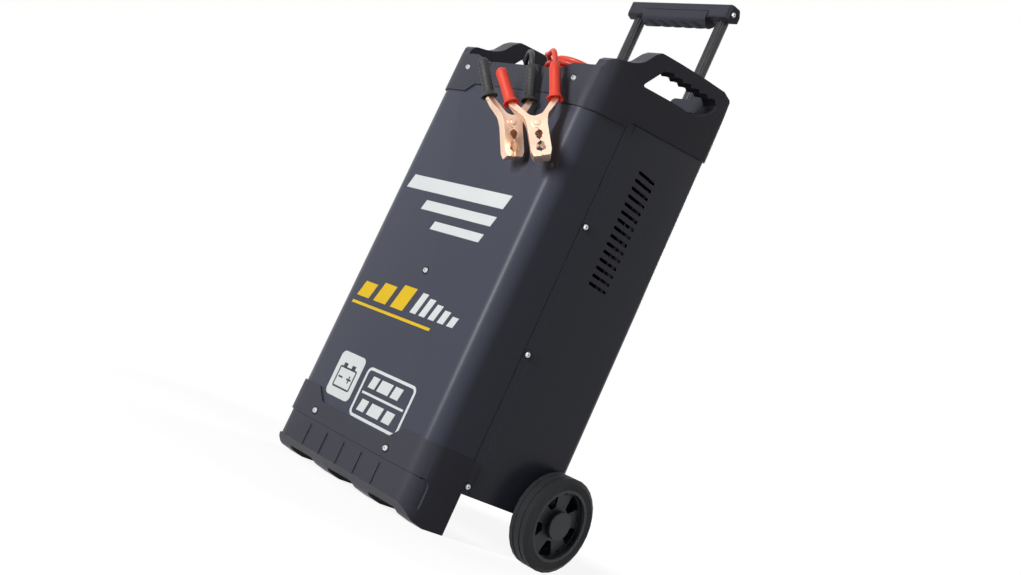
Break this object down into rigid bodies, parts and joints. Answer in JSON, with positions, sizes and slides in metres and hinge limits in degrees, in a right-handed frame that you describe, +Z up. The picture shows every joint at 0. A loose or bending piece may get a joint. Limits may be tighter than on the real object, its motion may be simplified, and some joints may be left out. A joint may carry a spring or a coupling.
{
  "type": "battery charger",
  "caption": "Upright battery charger on wheels: sheet-metal case, moulded foot, top cap with side handles, pull-out trolley handle, control panel, red and black clamps on leads.",
  "frame": {"origin": "on the floor, under the middle of the charger without its leads and clamps", "axes": "+Z up, +X to the charger's left side as it faces the user (the viewer's right), -Y the front with the foot, +Y the wheels and the trolley handle"},
  "size_m": [0.3694, 0.3918, 0.8469],
  "materials": {
    "case_steel": "satin slate grey powder coat",
    "moulding": "fine-grained moulded plastic",
    "trolley_tube": "satin dark grey",
    "tyre": "matt rubber",
    "wheel": "moulded",
    "zinc": "bright zinc",
    "plain_steel": "plain",
    "copper_plate": "pale copper plating",
    "red_rubber": "soft sleeve",
    "black_rubber": "soft sleeve",
    "red_lead": "soft sheath",
    "black_lead": "soft sheath",
    "panel": "satin fascia",
    "black_plastic": "moulded",
    "red_plastic": "moulded",
    "clear": "clear window",
    "needle": "painted",
    "lamination": "stacked sheet",
    "enamel_wire": "enamelled winding",
    "aluminium": "extruded"
  },
  "bodies": {
    "charger": {"front_cover": "case_steel", "rear_cover": "case_steel", "base_plate": "plain_steel", "top_cap": "moulding", "front_foot": "moulding", "axle": "plain_steel", "transformer_core": "lamination", "transformer_winding": "enamel_wire", "rectifier_heatsink": "aluminium", "fan_frame": "black_plastic", "mains_gland": "black_rubber", "control_panel": "panel", "ammeter_housing": "black_plastic", "ammeter_lens": "clear", "centre_screw": "zinc", "guide_tube_left": "plain_steel", "cap_screw_left": "zinc", "foot_screw_left": "zinc", "side_screw_left_1": "zinc", "side_screw_left_2": "zinc", "side_screw_left_3": "zinc", "guide_tube_right": "plain_steel", "cap_screw_right": "zinc", "foot_screw_right": "zinc", "side_screw_right_1": "zinc", "side_screw_right_2": "zinc", "side_screw_right_3": "zinc", "black_coil": "black_lead", "black_lead": "black_lead", "lead_gland_black": "black_rubber", "clamp_black_jaw_fixed": "copper_plate", "clamp_black_sleeve_fixed": "black_rubber", "clamp_black_pivot": "plain_steel", "clamp_black_spring": "plain_steel", "red_coil": "red_lead", "red_lead": "red_lead", "lead_gland_red": "black_rubber", "clamp_red_jaw_fixed": "copper_plate", "clamp_red_sleeve_fixed": "red_rubber", "clamp_red_pivot": "plain_steel", "clamp_red_spring": "plain_steel"},
    "trolley": {"trolley_tube_left": "trolley_tube", "trolley_tube_right": "trolley_tube", "handle_bar": "moulding", "handle_grip": "moulding", "bar_screw_left": "zinc", "bar_screw_right": "zinc"},
    "wheel_left": {"tyre_left": "tyre", "wheel_hub_left": "wheel"},
    "wheel_right": {"tyre_right": "tyre", "wheel_hub_right": "wheel"},
    "fan": {"fan_rotor": "black_plastic"},
    "needle": {"ammeter_needle": "needle"},
    "selector": {"charge_selector_knob": "black_plastic"},
    "rocker": {"power_rocker": "red_plastic"},
    "breaker": {"breaker_button": "red_plastic"},
    "black_jaw": {"clamp_black_jaw_moving": "copper_plate", "clamp_black_sleeve_moving": "black_rubber"},
    "red_jaw": {"clamp_red_jaw_moving": "copper_plate", "clamp_red_sleeve_moving": "red_rubber"}
  },
  "joints": [
    {"name": "trolley_slide", "type": "slide", "parent": "charger", "child": "trolley", "axis": [0, 0, 1], "range_m": [-0.13, 0]},
    {"name": "wheel_left_spin", "type": "hinge", "parent": "charger", "child": "wheel_left", "pos_m": [-0.16795, 0.08985, 0.065], "axis": [1, 0, 0], "continuous": true},
    {"name": "wheel_right_spin", "type": "hinge", "parent": "charger", "child": "wheel_right", "pos_m": [0.16795, 0.08985, 0.065], "axis": [1, 0, 0], "continuous": true},
    {"name": "fan_spin", "type": "hinge", "parent": "charger", "child": "fan", "pos_m": [0, 0.09315, 0.46], "axis": [0, 1, 0], "continuous": true},
    {"name": "needle_swing", "type": "hinge", "parent": "charger", "child": "needle", "pos_m": [-0.062, 0.01024, 0.64672], "axis": [0, -0.3511, 0.9363], "range_deg": [-90, 0]},
    {"name": "selector_turn", "type": "hinge", "parent": "charger", "child": "selector", "pos_m": [0.018, 0.02136, 0.6541], "axis": [0, -0.3511, 0.9363], "range_deg": [-240, 0]},
    {"name": "rocker_tilt", "type": "hinge", "parent": "charger", "child": "rocker", "pos_m": [0.066, 0.0321, 0.64824], "axis": [1, 0, 0], "range_deg": [-14, 0]},
    {"name": "breaker_press", "type": "slide", "parent": "charger", "child": "breaker", "axis": [0, -0.3511, 0.9363], "range_m": [-0.003, 0], "stiffness_N_per_m": 300},
    {"name": "black_clamp_open", "type": "hinge", "parent": "charger", "child": "black_jaw", "pos_m": [0.0642, -0.18105, 0.5032], "axis": [-0.8523, 0.4553, -0.2575], "range_deg": [0, 24], "stiffness_Nm_per_rad": 1, "springref_deg": -11.46},
    {"name": "red_clamp_open", "type": "hinge", "parent": "charger", "child": "red_jaw", "pos_m": [0.1168, -0.18625, 0.5047], "axis": [-0.6001, 0.7716, -0.2112], "range_deg": [0, 24], "stiffness_Nm_per_rad": 1, "springref_deg": -11.46}
  ]
}
